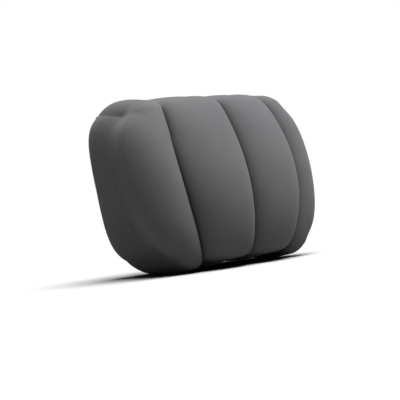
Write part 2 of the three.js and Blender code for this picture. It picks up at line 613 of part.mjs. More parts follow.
function addBuckle(parent) {
  const far = FEMALE_MOUTH - FEMALE_LENGTH;
  const socketEnd = FEMALE_BAR + BAR_RADIUS + SLOT_LENGTH + BUCKLE_WALL;
  const socketDepth = [BUCKLE_DEPTH[0] + SOCKET_WALL, BUCKLE_DEPTH[1] - SOCKET_WALL];
  const shellBody = roundedPlate([far, FEMALE_MOUTH], BUCKLE_DEPTH, [-BUCKLE_HALF, BUCKLE_HALF], 4);
  const socket = block([socketEnd, FEMALE_MOUTH + 1], socketDepth, [-SOCKET_HALF, SOCKET_HALF]);
  const windowRun = [socketEnd + WINDOW_INSET[0], FEMALE_MOUTH - WINDOW_INSET[1]];
  const sideWindows = block(windowRun, socketDepth, [-BUCKLE_WIDTH, BUCKLE_WIDTH]);
  add(parent, 'buckle_female', cut(shellBody, socket, sideWindows, ...barCuts(FEMALE_BAR, -1)), ACETAL);

  const shoulder = FEMALE_MOUTH + BUCKLE_CLEARANCE;
  const plug = [socketDepth[0] + BUCKLE_CLEARANCE, socketDepth[1] - BUCKLE_CLEARANCE];
  const base = roundedPlate([shoulder, MALE_BAR + BAR_RADIUS], BUCKLE_DEPTH, [-BUCKLE_HALF, BUCKLE_HALF], 3);
  const tongue = block([shoulder - TONGUE_LENGTH, shoulder + 1], plug, [-TONGUE_WIDTH / 2, TONGUE_WIDTH / 2]);
  add(parent, 'buckle_male', cut(join(base, tongue), ...barCuts(MALE_BAR, 1)), ACETAL);

  // Each prong is an arm with a thumb pad that fills the side window, and it bends inward at its root.
  const root = shoulder - REST_GAP - 0.2;
  const tip = root - PRONG_LENGTH;
  const padOuter = SOCKET_HALF - BUCKLE_CLEARANCE;
  const armOuter = padOuter - PRONG_PAD_RISE;
  const armInner = armOuter - PRONG_WIDTH;
  const [padFrom, padTo] = PRONG_PAD.map((x) => root - x);
  const arm = [
    [root, armInner], [root, armOuter], [root - PRONG_NECK, armOuter], [padFrom, padOuter], [padTo, padOuter],
    [tip, armOuter - 1], [tip, armInner + 1], [padTo + 1, armInner],
  ];
  for (const [side, sign] of [['upper', 1], ['lower', -1]]) {
    const outline = arm.map(([x, z]) => new THREE.Vector2(x, z * sign));
    add(parent, `buckle_prong_${side}`, plate(outline, plug), ACETAL);
  }
}

// ---------------------------------------------------------------- label and the whole
function addLabel(parent) {
  const depth = [BACK_DEPTH + REST_GAP, BACK_DEPTH + REST_GAP + LABEL_THICKNESS];
  const [run, heights] = LABEL_FROM.map((from, i) => [from, from + LABEL_SIZE[i]]);
  add(parent, 'care_label', roundedPlate(run, depth, heights, 0.5), LABEL);
}

const cushion = new THREE.Group();
addCushion(cushion);
addZip(cushion);
addLabel(cushion);
const strap = new THREE.Group();
strap.position.set(0, BACK_DEPTH, STRAP_HEIGHT);
cushion.add(strap);
addStrap(strap);
addBuckle(strap);

const part = new THREE.Group();
part.add(cushion);
part.updateMatrixWorld(true);
const box = new THREE.Box3().setFromObject(part, true);
cushion.position.set(0, -(box.min.y + box.max.y) / 2, -box.min.z);

export default part;
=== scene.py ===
# %% [markdown]
# # A lumbar support cushion
#
# A lumbar cushion fills the hollow between the small of the back and a chair's backrest. This one is a
# block of memory foam in a soft knitted cover. The front of the cover is sewn in four upright lobes, a
# plain band goes round the edge, and the flat back is spacer mesh with a zip and a strap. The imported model
# gives every size and place.

# %% Frame, in metres
import math

import bmesh
import bpy
from mathutils import Matrix, Vector


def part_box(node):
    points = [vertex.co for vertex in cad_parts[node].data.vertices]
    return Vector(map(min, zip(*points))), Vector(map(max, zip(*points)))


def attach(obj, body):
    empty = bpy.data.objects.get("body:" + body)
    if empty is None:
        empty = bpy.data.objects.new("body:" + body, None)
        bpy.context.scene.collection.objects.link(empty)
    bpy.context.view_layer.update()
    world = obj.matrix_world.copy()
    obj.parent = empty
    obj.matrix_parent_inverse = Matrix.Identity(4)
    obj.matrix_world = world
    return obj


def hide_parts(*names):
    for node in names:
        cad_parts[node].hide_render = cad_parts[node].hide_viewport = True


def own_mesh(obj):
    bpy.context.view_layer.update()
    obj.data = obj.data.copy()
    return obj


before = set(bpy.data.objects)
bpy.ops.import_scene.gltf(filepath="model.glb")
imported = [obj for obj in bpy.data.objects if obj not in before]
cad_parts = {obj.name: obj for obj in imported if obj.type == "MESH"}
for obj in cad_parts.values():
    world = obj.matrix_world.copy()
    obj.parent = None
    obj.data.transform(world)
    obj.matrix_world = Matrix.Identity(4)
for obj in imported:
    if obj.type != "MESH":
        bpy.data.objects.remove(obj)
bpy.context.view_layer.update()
MM = 0.001

# %% [markdown]
# ## The camera
#
# The cushion is seen from its front left, at the height of its middle, by a camera that leans a little to
# one side. A long lens from nearly two metres keeps the lobes from bulging towards the viewer. The middle
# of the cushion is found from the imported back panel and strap, because every later size is counted from
# there.

# %% Cushion's middle and the camera
BACK_DEPTH = 105 * MM
STRAP_ABOVE_MIDDLE = 22 * MM
back_low, back_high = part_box("back_panel")
strap_low, strap_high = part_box("strap_left")
middle = Vector((0, back_high.y - BACK_DEPTH, (strap_low.z + strap_high.z) / 2 - STRAP_ABOVE_MIDDLE))
print("middle of the cushion", [round(v, 4) for v in middle])

CAMERA_AZIMUTH = math.radians(-37.8)
CAMERA_ELEVATION = math.radians(-1.9)
CAMERA_ROLL = math.radians(-7.0)
CAMERA_DISTANCE = 1.807
LENS_MM = 95.1


def place_camera():
    away = Vector((math.sin(CAMERA_AZIMUTH) * math.cos(CAMERA_ELEVATION),
                   -math.cos(CAMERA_AZIMUTH) * math.cos(CAMERA_ELEVATION),
                   math.sin(CAMERA_ELEVATION)))
    camera = bpy.data.objects.new("camera", bpy.data.cameras.new("camera"))
    bpy.context.scene.collection.objects.link(camera)
    camera.location = middle + away * CAMERA_DISTANCE
    turn = (-away).to_track_quat("-Z", "Y").to_matrix().to_4x4()
    roll = turn @ Matrix.Rotation(CAMERA_ROLL, 4, "Z")
    camera.rotation_euler = roll.to_euler()
    camera.data.lens = LENS_MM
    camera.data.shift_x = -0.028
    camera.data.shift_y = -0.055
    bpy.context.scene.camera = camera
    return camera


camera = place_camera()
print("camera at", [round(v, 3) for v in camera.location])

# %% [markdown]
# ## Colours and nodes
#
# A hex colour such as #4b4b4d is stored for a screen, so it is turned to linear light before it goes into a
# material. One small function adds a node with its settings and links. Each material below is then a short
# list of what its surface does.

# %% Colour and node helpers
def linear(hex_colour):
    """An sRGB hex colour as linear red, green, blue and alpha."""
    channels = [int(hex_colour[i:i + 2], 16) / 255 for i in (1, 3, 5)]
    return [c / 12.92 if c <= 0.04045 else ((c + 0.055) / 1.055) ** 2.4 for c in channels] + [1.0]


def plug(tree, node, values):
    """Sets a node's sockets, each to a value or to a link from another node's output."""
    for socket, value in values.items():
        if isinstance(value, bpy.types.NodeSocket):
            tree.links.new(value, node.inputs[socket])
        else:
            node.inputs[socket].default_value = value


def add_node(tree, kind, values=None, out=0, **settings):
    """Adds a node with its settings and links, and gives back one of its outputs."""
    node = tree.nodes.new(kind)
    for name, value in settings.items():
        setattr(node, name, value)
    plug(tree, node, values or {})
    return node.outputs[out]


def new_material(name, **shader_values):
    """A material with its Principled shader, and the tree to add to."""
    material = bpy.data.materials.new(name)
    material.use_nodes = True
    shader = material.node_tree.nodes["Principled BSDF"]
    plug(material.node_tree, shader, {key.replace("_", " "): value for key, value in shader_values.items()})
    return material, material.node_tree, shader


# Each sheet of cloth carries its lengths across and up in millimetres, so that a weave follows it round.
CLOTH_LENGTHS = "thread_mm"
WAVE_SCALE = 0.5 / math.pi  # one wave for each unit of the coordinate
MIX_A, MIX_B, MIX_COLOUR_OUT = 6, 7, 2

# %% [markdown]
# ## The cover's cloth
#
# The cover is a warp-knitted polyester, dyed dark grey and lightly brushed. Brushing lifts a fine nap that
# scatters light at grazing angles, which is what the shader's sheen stands for, and it leaves no gloss at
# all, so roughness is near 1. The real columns of loops, called wales, are about 0.7 mm apart, which is too
# fine to show here, so they are drawn 1.4 mm apart. They could be drawn with an image, but two crossed
# waves counted in threads follow the cloth round every lobe and never stretch.

# %% Warp-knitted polyester
WALE_MM = 1.4
COVER_DARK = "#3d3d3f"
COVER_LIGHT = "#484849"


def warp_knit_polyester():
    material, tree, shader = new_material(
        "warp_knit_polyester", Roughness=0.95, Sheen_Weight=0.12, Sheen_Roughness=0.5,
        Specular_IOR_Level=0.2, Sheen_Tint=linear("#9a9a9e"))
    lengths = add_node(tree, "ShaderNodeAttribute", out="Vector", attribute_name=CLOTH_LENGTHS)
    scale = 1 / WALE_MM
    loops_at = add_node(tree, "ShaderNodeMapping", {"Vector": lengths, "Scale": (scale, scale * 0.8, scale)})
    waves = {"Vector": loops_at, "Scale": WAVE_SCALE, "Distortion": 0.5}
    wales = add_node(tree, "ShaderNodeTexWave", waves, "Fac", bands_direction="X")
    courses = add_node(tree, "ShaderNodeTexWave", waves, "Fac", bands_direction="Y")
    loops = add_node(tree, "ShaderNodeMath", {0: wales, 1: courses}, operation="MULTIPLY")
    place = add_node(tree, "ShaderNodeTexCoord", out="Object")
    nap = add_node(tree, "ShaderNodeTexNoise", {"Vector": place, "Scale": 700.0, "Detail": 2.0}, "Fac")
    wear = add_node(tree, "ShaderNodeTexNoise", {"Vector": place, "Scale": 11.0, "Detail": 3.0}, "Fac")
    dye = add_node(tree, "ShaderNodeMath", {0: wear, 1: loops, 2: wear}, operation="MULTIPLY_ADD")
    colour = add_node(tree, "ShaderNodeMix", {
        0: dye, MIX_A: linear(COVER_DARK), MIX_B: linear(COVER_LIGHT),
    }, MIX_COLOUR_OUT, data_type="RGBA")
    knit = add_node(tree, "ShaderNodeBump", {"Height": loops, "Distance": 0.12 * MM, "Strength": 0.45})
    brushed = add_node(tree, "ShaderNodeBump", {
        "Height": nap, "Distance": 0.1 * MM, "Strength": 0.35, "Normal": knit,
    })
    plug(tree, shader, {"Base Color": colour, "Normal": brushed})
    return material


cover_cloth = warp_knit_polyester()

# %% [markdown]
# ## Spacer mesh
#
# The back is spacer mesh: two knitted faces held apart by fine threads, with open cells about 4 mm apart
# that let air through and grip a chair. Cell texture with no randomness gives the even rows of holes. Each
# hole is dark, because the eye looks through it into shade, and sunk by most of a millimetre.

# %% Polyester spacer mesh
CELL_MM = 4.0


def polyester_spacer_mesh():
    material, tree, shader = new_material(
        "polyester_spacer_mesh", Roughness=0.88, Sheen_Weight=0.12, Sheen_Roughness=0.5,
        Specular_IOR_Level=0.25)
    lengths = add_node(tree, "ShaderNodeAttribute", out="Vector", attribute_name=CLOTH_LENGTHS)
    scale = 1 / CELL_MM
    cells_at = add_node(tree, "ShaderNodeMapping", {
        "Vector": lengths, "Scale": (scale, scale, scale), "Rotation": (0, 0, math.radians(45)),
    })
    cells = add_node(tree, "ShaderNodeTexVoronoi", {
        "Vector": cells_at, "Scale": 1.0, "Randomness": 0.0}, "Distance")
    rim = add_node(tree, "ShaderNodeMapRange", {
        "Value": cells, "From Min": 0.22, "From Max": 0.40,
    }, interpolation_type="SMOOTHSTEP")
    threads = add_node(tree, "ShaderNodeTexNoise", {"Vector": lengths, "Scale": 2.2, "Detail": 2.0}, "Fac")
    yarn = add_node(tree, "ShaderNodeMix", {
        0: threads, MIX_A: linear("#363638"), MIX_B: linear("#4a4a4c"),
    }, MIX_COLOUR_OUT, data_type="RGBA")
    colour = add_node(tree, "ShaderNodeMix", {
        0: rim, MIX_A: linear("#0e0e0f"), MIX_B: yarn,
    }, MIX_COLOUR_OUT, data_type="RGBA")
    sunk = add_node(tree, "ShaderNodeBump", {"Height": rim, "Distance": 0.8 * MM, "Strength": 0.7})
    plug(tree, shader, {"Base Color": colour, "Normal": sunk})
    return material


spacer_mesh = polyester_spacer_mesh()

# %% [markdown]
# ## Woven tapes and thread
#
# Webbing, zip tape, label satin and the liner are woven or knitted narrow goods of different fineness. Each
# is ribs across the length that the crossing threads break up, so one function makes them all from a pitch
# in millimetres and a depth. Polypropylene webbing has a slight gloss, and cotton has none.

# %% Webbing, tape, label, liner and thread
def woven(name, dark, light, pitch_mm, depth_mm, roughness):
    material, tree, shader = new_material(
        name, Roughness=roughness, Sheen_Weight=0.1, Sheen_Roughness=0.4, Specular_IOR_Level=0.35)
    lengths = add_node(tree, "ShaderNodeAttribute", out="Vector", attribute_name=CLOTH_LENGTHS)
    scale = 1 / pitch_mm
    at = add_node(tree, "ShaderNodeMapping", {"Vector": lengths, "Scale": (scale, 0.6 * scale, scale)})
    waves = {"Vector": at, "Scale": WAVE_SCALE}
    ribs = add_node(tree, "ShaderNodeTexWave", waves, "Fac", bands_direction="X")
    picks = add_node(tree, "ShaderNodeTexWave", waves, "Fac", bands_direction="Y")
    weave = add_node(tree, "ShaderNodeMath", {0: ribs, 1: picks}, operation="MULTIPLY")
    colour = add_node(tree, "ShaderNodeMix", {
        0: weave, MIX_A: linear(dark), MIX_B: linear(light),
    }, MIX_COLOUR_OUT, data_type="RGBA")
    raised = add_node(tree, "ShaderNodeBump", {"Height": weave, "Distance": depth_mm * MM, "Strength": 0.8})
    plug(tree, shader, {"Base Color": colour, "Normal": raised})
    return material


webbing_cloth = woven("polypropylene_webbing", "#101011", "#343437", 1.7, 0.35, 0.6)
zip_cloth = woven("polyester_zip_tape", "#141415", "#2e2e30", 0.9, 0.15, 0.8)
liner_cloth = woven("cotton_liner_jersey", "#c4c4c0", "#e6e6e2", 1.5, 0.2, 0.95)
label_cloth = woven("polyester_label_satin", "#c9c9c6", "#e2e2df", 0.6, 0.05, 0.45)
sewing_thread = woven("bonded_polyester_thread", "#1c1c1d", "#3c3c3e", 0.6, 0.1, 0.55)

# %% [markdown]
# ## Moulded, cast and foamed surfaces
#
# The buckle and its keeper are acetal, moulded against steel that was spark-eroded to a fine satin. The
# zip's coil is extruded nylon, and its slider is die-cast zinc under black paint. All three are an even
# colour with a fine grain, and hands polish the high spots, so roughness varies slowly over them. Memory
# foam is open cells.

# %% Acetal, nylon, painted zinc and foam
def hard_surface(name, colour, worn_colour, roughness, grain_mm, depth_mm):
    material, tree, shader = new_material(name, IOR=1.48)
    place = add_node(tree, "ShaderNodeTexCoord", out="Object")
    grain = add_node(tree, "ShaderNodeTexNoise", {"Vector": place, "Scale": 1 / (grain_mm * MM)}, "Fac")
    handling = add_node(tree, "ShaderNodeTexNoise", {"Vector": place, "Scale": 90.0, "Detail": 4.0}, "Fac")
    tone = add_node(tree, "ShaderNodeMix", {
        0: handling, MIX_A: linear(colour), MIX_B: linear(worn_colour),
    }, MIX_COLOUR_OUT, data_type="RGBA")
    polish = add_node(tree, "ShaderNodeMapRange", {
        "Value": handling, "To Min": roughness + 0.1, "To Max": roughness - 0.1,
    })
    grained = add_node(tree, "ShaderNodeBump", {"Height": grain, "Distance": depth_mm * MM, "Strength": 0.6})
    plug(tree, shader, {"Base Color": tone, "Roughness": polish, "Normal": grained})
    return material


def memory_foam():
    material, tree, shader = new_material("viscoelastic_polyurethane", Roughness=0.95, Specular_IOR_Level=0.2)
    place = add_node(tree, "ShaderNodeTexCoord", out="Object")
    pores = add_node(tree, "ShaderNodeTexVoronoi", {"Vector": place, "Scale": 900.0}, "Distance")
    # The pits of the open cells are painted darker than their walls: this is painted shade in the pores.
    colour = add_node(tree, "ShaderNodeMix", {
        0: pores, MIX_A: linear("#b9ad8c"), MIX_B: linear("#efe8d2"),
    }, MIX_COLOUR_OUT, data_type="RGBA")
    pitted = add_node(tree, "ShaderNodeBump", {"Height": pores, "Distance": 0.4 * MM, "Strength": 0.7})
    plug(tree, shader, {"Base Color": colour, "Normal": pitted})
    return material


foam = memory_foam()
acetal = hard_surface("moulded_acetal", "#121214", "#1d1d1f", 0.42, 0.4, 0.02)
coil_nylon = hard_surface("extruded_nylon", "#161617", "#222224", 0.38, 0.3, 0.005)
painted_zinc = hard_surface("painted_zinc_alloy", "#151516", "#333336", 0.36, 0.3, 0.01)
print("materials:", len(bpy.data.materials))

# %% [markdown]
# ## The cushion's shape
#
# The face could be sculpted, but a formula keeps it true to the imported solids. The face rises from a curved
# mid surface whose rim is the seam with the side band. Across the width it follows a shallow arc. The rise
# is a dome times a row of four rounded lobes, and a superellipse, a curve between a circle and a square,
# ends each direction. The band carries the rim round to the flat back. The creases dip a little deeper into
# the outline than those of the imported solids, because the seams there pull hardest. Past the middle of each
# outer lobe the outline falls off evenly, so at the corners it lies a few millimetres inside the packed
# solids.

# %% Driving sizes of the cushion
HALF_HEIGHT = 140 * MM
PLAN_RADIUS = 350 * MM
PLAN_HALF_ANGLE = math.radians(27.5)
HALF_ARC = PLAN_RADIUS * PLAN_HALF_ANGLE
FACE_DOME = 76 * MM
EDGE_RISE = 48 * MM
FACE_DEPTH = FACE_DOME + EDGE_RISE
DOME_SLUMP = 0.06
EDGE_POWER = 4.2
SIDE_POWER = 3.2
OUTLINE_POWER = 5.5
EDGE_BOW = -43 * MM
EDGE_BOW_CENTRE = 0.25
TOP_SPREAD = 0.075
LOBE_SPLIT = 0.56
LOBE_ROUND = 2.05
CREASE_LEVEL = 0.80
CREASE_LEVEL_DROP = 0.20
CREASE_NOTCH_TOP = 0.07
CREASE_NOTCH_BOTTOM = 0.045
OUTER_LOBE_RISE = 8 * MM
OUTER_LOBE_DROP = 16 * MM
BAND_FULLNESS = 0.07
BACK_CORNER_SIDE = 9
BACK_CORNER_TOP = 3.5
BACK_OVERSHOOT = 20 * MM
BACK_PANEL_SHARE = 0.78
LOBE_EDGES = [-1, -LOBE_SPLIT, 0, LOBE_SPLIT, 1]


# %% Points of the face and of the band
def swell(x, power):
    """Quarter of a superellipse: 1 in the middle, 0 at x = 1 and -1."""
    return (1 - min(abs(x), 1) ** power) ** (1 / power)


def round_corners(s, t):
    reach = max(abs(s), abs(t))
    if reach == 0:
        return 0.0, 0.0
    edge = ((abs(s) / reach) ** OUTLINE_POWER + (abs(t) / reach) ** OUTLINE_POWER) ** (-1 / OUTLINE_POWER)
    pull = 1 + (edge - 1) * reach ** 4
    return s * pull, t * pull


def outline_puff(s, puff):
    """The puff that shapes the outline. Past the middle of an outer lobe it falls off evenly."""
    lobe_middle = (1 + LOBE_SPLIT) / 2
    if abs(s) <= lobe_middle:
        return puff
    return 1 - ((min(abs(s), 1) - lobe_middle) / (1 - lobe_middle)) ** 2


def base_point(s, t, puff, outer, inset, scallop=1.0):
    puff = outline_puff(s, puff)
    across, up = round_corners(s, t)
    outward = max(0, (abs(s) - LOBE_SPLIT) / (1 - LOBE_SPLIT)) ** 2
    a = across - math.copysign(outward * inset / HALF_ARC, across)
    height = up * (1 - inset / HALF_HEIGHT)
    angle = a * PLAN_HALF_ANGLE * (1 + TOP_SPREAD * height)
    notch = CREASE_NOTCH_TOP if up > 0 else CREASE_NOTCH_BOTTOM
    hang = OUTER_LOBE_RISE if up > 0 else OUTER_LOBE_DROP
    dip = HALF_HEIGHT * notch * (1 - puff)
    overhang = hang * puff if outer else 0
    z = height * (HALF_HEIGHT + scallop * (overhang - dip))
    y = PLAN_RADIUS * (1 - math.cos(angle)) + EDGE_BOW * (height - EDGE_BOW_CENTRE) ** 2
    return angle, up, Vector((PLAN_RADIUS * math.sin(angle), y, z))


def front_point(s, t, puff, outer, inset):
    """A point of the lobed face, inset below its outer surface."""
    angle, up, point = base_point(s, t, puff, outer, inset)
    crease = CREASE_LEVEL - CREASE_LEVEL_DROP * up * up - 1.5 * inset / FACE_DEPTH
    across = (crease + (1 - crease) * puff) * swell(s, SIDE_POWER)
    dome = FACE_DOME * (1 - t * t) * (1 - DOME_SLUMP * t)
    rise = (dome + EDGE_RISE * swell(t, EDGE_POWER)) * across * (1 - inset / FACE_DEPTH)
    return point + Vector((math.sin(angle) * rise, -math.cos(angle) * rise, 0))


def band_point(s, t, ring, puff, outer, inset, back_inset):
    """A point of the band: ring 1 is the face's rim and smaller rings lie further round the back."""
    top_share = t ** 4 / (s ** 4 + t ** 4)
    turn = swell(ring, BACK_CORNER_SIDE + (BACK_CORNER_TOP - BACK_CORNER_SIDE) * top_share)
    _, _, point = base_point(s, t, puff, outer, inset, 1 - turn)
    size = ring * (1 + BAND_FULLNESS * 4 * turn * (1 - turn))
    back = BACK_DEPTH - back_inset
    y = point.y + (back + BACK_OVERSHOOT - point.y) * turn
    return Vector((point.x * size, min(y, back), point.z * size))


# %% [markdown]
# ## A mesh for the soft shapes
#
# One function lays a grid of quads over the face, the band and the back, so that the cover, the liner and
# the foam are the same shape at three depths. The columns and rows are spaced evenly along the surface, not
# across it, because the face turns sharply at its rim and would be coarse there. Each vertex also carries
# two lengths in millimetres, across and up the cloth, which the knit and weave materials count their
# threads from.

# %% Even spacing along the surface
FINE = 400


def even_steps(count, point_at):
    """Values from -1 to 1 that space point_at(value) evenly along its path."""
    fine = [-1 + 2 * i / FINE for i in range(FINE + 1)]
    path = [point_at(u) for u in fine]
    lengths = [0.0]
    for a, b in zip(path, path[1:]):
        lengths.append(lengths[-1] + (b - a).length)
    steps, j = [], 0
    for i in range(count + 1):
        target = lengths[-1] * i / count
        while j < FINE - 1 and lengths[j + 1] < target:
            j += 1
        share = (target - lengths[j]) / max(lengths[j + 1] - lengths[j], 1e-12)
        steps.append(fine[j] + min(share, 1) * 2 / FINE)
    return [-1.0] + steps[1:-1] + [1.0]


def face_columns(lobe_steps, inset):
    """(s, puff, outer, lobe number) of each column of the face."""
    columns = []
    for lobe in range(4):
        low, high = LOBE_EDGES[lobe], LOBE_EDGES[lobe + 1]
        outer = lobe in (0, 3)

        def at(across):
            s = (low + high) / 2 + across * (high - low) / 2
            return front_point(s, 0, swell(across, LOBE_ROUND), outer, inset)

        for i, across in enumerate(even_steps(lobe_steps, at)):
            if i > 0 or lobe == 0:
                s = (low + high) / 2 + across * (high - low) / 2
                columns.append((s, swell(across, LOBE_ROUND), outer, lobe))
    return columns


def evenly(points, count):
    """The same path with count points spaced evenly along it."""
    lengths = [0.0]
    for a, b in zip(points, points[1:]):
        lengths.append(lengths[-1] + (b - a).length)
    made, j = [], 0
    for i in range(count):
        target = lengths[-1] * i / (count - 1)
        while j < len(lengths) - 2 and lengths[j + 1] < target:
            j += 1
        span = max(lengths[j + 1] - lengths[j], 1e-12)
        made.append(points[j].lerp(points[j + 1], min(1, (target - lengths[j]) / span)))
    return made


# %% Grid of the whole cushion
FACE, BAND, BACK = (0, 1, 2, 3), 4, 5
CAP_STEPS = 6
BAND_FINE = 160


def band_strand(s, t, column, inset, back_inset, band_steps):
    """Points from the rim round the band to the back panel's edge, and on to the middle of the back."""
    shares = [1 - (1 - BACK_PANEL_SHARE) * (i / BAND_FINE) ** 3 for i in range(BAND_FINE + 1)]
    path = [band_point(s, t, ring, column[1], column[2], inset, back_inset) + middle for ring in shares]
    strand = evenly(path, band_steps + 1)
    edge = strand[-1]
    centre = Vector((0, edge.y, middle.z))
    return strand + [edge.lerp(centre, (k + 1) / (CAP_STEPS + 1)) for k in range(CAP_STEPS)]


def cushion_grid(lobe_steps, height_steps, band_steps, inset, back_inset):
    """Points, threads, and faces with a region each: 0 to 3 the lobes, 4 the band, 5 the back."""
    columns = face_columns(lobe_steps, inset)
    crest = (LOBE_EDGES[1] + LOBE_EDGES[2]) / 2
    heights = even_steps(height_steps, lambda t: front_point(crest, t, 1.0, False, inset))
    wide, high = len(columns), len(heights)
    points, threads, faces, regions = [], [], [], []
    for t in heights:
        for s, puff, outer, _ in columns:
            points.append(front_point(s, t, puff, outer, inset) + middle)
    up = [0.0]
    for i in range(1, high):
        here, below = points[i * wide + lobe_steps // 2], points[(i - 1) * wide + lobe_steps // 2]
        up.append(up[-1] + (here - below).length)
    across = [0.0]
    row = (high // 2) * wide
    for j in range(1, wide):
        across.append(across[-1] + (points[row + j] - points[row + j - 1]).length)
    for i in range(high):
        for j in range(wide):
            threads.append((across[j] / MM, up[i] / MM))
    for i in range(high - 1):
        for j in range(wide - 1):
            a = i * wide + j
            faces.append((a, a + 1, a + wide + 1, a + wide))
            regions.append(columns[j + 1][3])
    rim = list(range(wide))
    rim += [i * wide + wide - 1 for i in range(1, high - 1)]
    rim += [(high - 1) * wide + j for j in reversed(range(wide))]
    rim += [i * wide for i in reversed(range(1, high - 1))]
    strands = [band_strand(columns[k % wide][0], heights[k // wide], columns[k % wide], inset, back_inset,
                           band_steps) for k in rim]
    around = [0.0]
    for a, b in zip(strands, strands[1:]):
        around.append(around[-1] + (b[1] - a[1]).length / MM)
    last = rim
    for ring in range(1, band_steps + 1 + CAP_STEPS):
        row = []
        for k, strand in enumerate(strands):
            row.append(len(points))
            points.append(strand[ring])
            threads.append((around[k], (strand[ring] - strand[0]).length / MM))
        for k in range(len(rim)):
            n = (k + 1) % len(rim)
            faces.append((last[n], last[k], row[k], row[n]))
            regions.append(BAND if ring <= band_steps else BACK)
        last = row
    faces.append(tuple(reversed(last)))
    regions.append(BACK)
    return {"points": points, "threads": threads, "faces": faces, "regions": regions, "rim": rim,
            "wide": wide, "high": high, "lobe_steps": lobe_steps, "band_steps": band_steps}


# %% Mesh helpers
def mesh_piece(name, points, faces, material, threads=None):
    """A smooth mesh object with its thread lengths and one material."""
    mesh = bpy.data.meshes.new(name)
    mesh.from_pydata([tuple(p) for p in points], [], faces)
    if threads is not None:
        layer = mesh.attributes.new(CLOTH_LENGTHS, "FLOAT_VECTOR", "POINT")
        for i, value in enumerate(threads):
            layer.data[i].vector = (value[0], value[1], 0)
    for polygon in mesh.polygons:
        polygon.use_smooth = True
    mesh.materials.append(material)
    piece = bpy.data.objects.new(name, mesh)
    bpy.context.scene.collection.objects.link(piece)
    return piece


def part_of(grid, wanted):
    """The points, faces and threads of some regions of a grid, renumbered."""
    chosen = [f for f, region in zip(grid["faces"], grid["regions"]) if region in wanted]
    used = sorted({i for f in chosen for i in f})
    number = {old: new for new, old in enumerate(used)}
    faces = [tuple(number[i] for i in f) for f in chosen]
    return [grid["points"][i] for i in used], faces, [grid["threads"][i] for i in used]


def stands_for(piece, body, slot, *nodes):
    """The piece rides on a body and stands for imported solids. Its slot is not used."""
    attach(piece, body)
    if nodes:
        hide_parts(*nodes)
    return piece


def shape_with(piece, kind, **settings):
    modifier = piece.modifiers.new(kind.lower(), kind)
    for name, value in settings.items():
        setattr(modifier, name, value)


# %% [markdown]
# ## Puffing the cover
#
# A sewn cover is flat cloth pulled tight over foam. It bulges between its seams, and the seams hold it
# down. A cloth simulation does the same: the grid starts a little small, the creases and the back are
# pinned, and pressure from inside pushes the rest out for twenty frames. Foam stops the cloth from sinking,
# so only the outward part of each move is kept, smoothed over its neighbours and capped, and the cushion
# keeps its size. Sculpting could do it too, but the simulation finds the tight, even curves by itself.

# %% Cloth simulation of the cover
START_INSET = 3 * MM
PUFF_LIMIT = 5 * MM
PUFF_FRAMES = 20
EVENING_ROUNDS = 40
COVER_BEHIND = 0.6 * MM

COVER_GRID = (24, 72, 26)  # steps across a lobe, up the face and round the band
cover = cushion_grid(*COVER_GRID, START_INSET, COVER_BEHIND)
print("cover grid:", len(cover["points"]), "points")


def held_points(grid):
    """The points that seams hold: the creases, and all from the back panel's edge inwards."""
    creases = range(grid["lobe_steps"], grid["wide"] - 1, grid["lobe_steps"])
    held = [i * grid["wide"] + j for i in range(grid["high"]) for j in creases]
    face_count = grid["wide"] * grid["high"]
    return held + list(range(face_count + (grid["band_steps"] - 2) * len(grid["rim"]), len(grid["points"])))


def puff_up(grid):
    """Simulates the grid as cloth under pressure and moves its points, each by no more than the limit."""
    body = mesh_piece("puffing", grid["points"], grid["faces"], cover_cloth)
    seams = body.vertex_groups.new(name="seams")
    seams.add(held_points(grid), 1.0, "REPLACE")
    cloth = body.modifiers.new("cloth", "CLOTH")
    settings = cloth.settings
    settings.vertex_group_mass = "seams"
    settings.quality = 4
    settings.mass = 0.25
    settings.tension_stiffness = 12
    settings.compression_stiffness = 12
    settings.shear_stiffness = 6
    settings.bending_stiffness = 0.6
    settings.use_pressure = True
    settings.uniform_pressure_force = 4
    settings.effector_weights.gravity = 0
    cloth.collision_settings.use_collision = False
    for number in range(1, PUFF_FRAMES + 1):
        bpy.context.scene.frame_set(number)
    shaped = body.evaluated_get(bpy.context.evaluated_depsgraph_get()).to_mesh()
    outward = []
    for start, vertex in zip(body.data.vertices, shaped.vertices):
        outward.append(min(max((vertex.co - start.co).dot(start.normal), 0.0), PUFF_LIMIT))
    neighbours = [[] for _ in outward]
    for edge in body.data.edges:
        a, b = edge.vertices
        neighbours[a].append(b)
        neighbours[b].append(a)
    seams_at = set(held_points(grid))
    for _ in range(EVENING_ROUNDS):
        outward = [0.0 if i in seams_at else (move + sum(outward[n] for n in near)) / (1 + len(near))
                   for i, (move, near) in enumerate(zip(outward, neighbours))]
    grid["points"] = [v.co + v.normal * move for v, move in zip(body.data.vertices, outward)]
    bpy.context.scene.frame_set(1)
    bpy.data.objects.remove(body)
    print("puffed by up to", round(max(outward) / MM, 1), "mm, on average",
          round(sum(outward) / len(outward) / MM, 1), "mm")


puff_up(cover)

# %% [markdown]
# ## Easing the side seams
#
# Where the outer lobes meet the band, the foam underneath is rounded, so the seam shows only as a soft
# ridge. The grid is averaged over its neighbours there, most at the seam and less further away, as a
# sculptor's smooth brush would do. The top and bottom stay as they are, because the scallops there are
# crisp.

# %% Soft ridge along the side seams
EASE_STEPS = 10
EASE_ROUNDS = 80
EASE_PULL = 0.7
SIDE_FROM = 0.58  # share of the half width where easing starts
FLOOR_GAP = 0.3 * MM


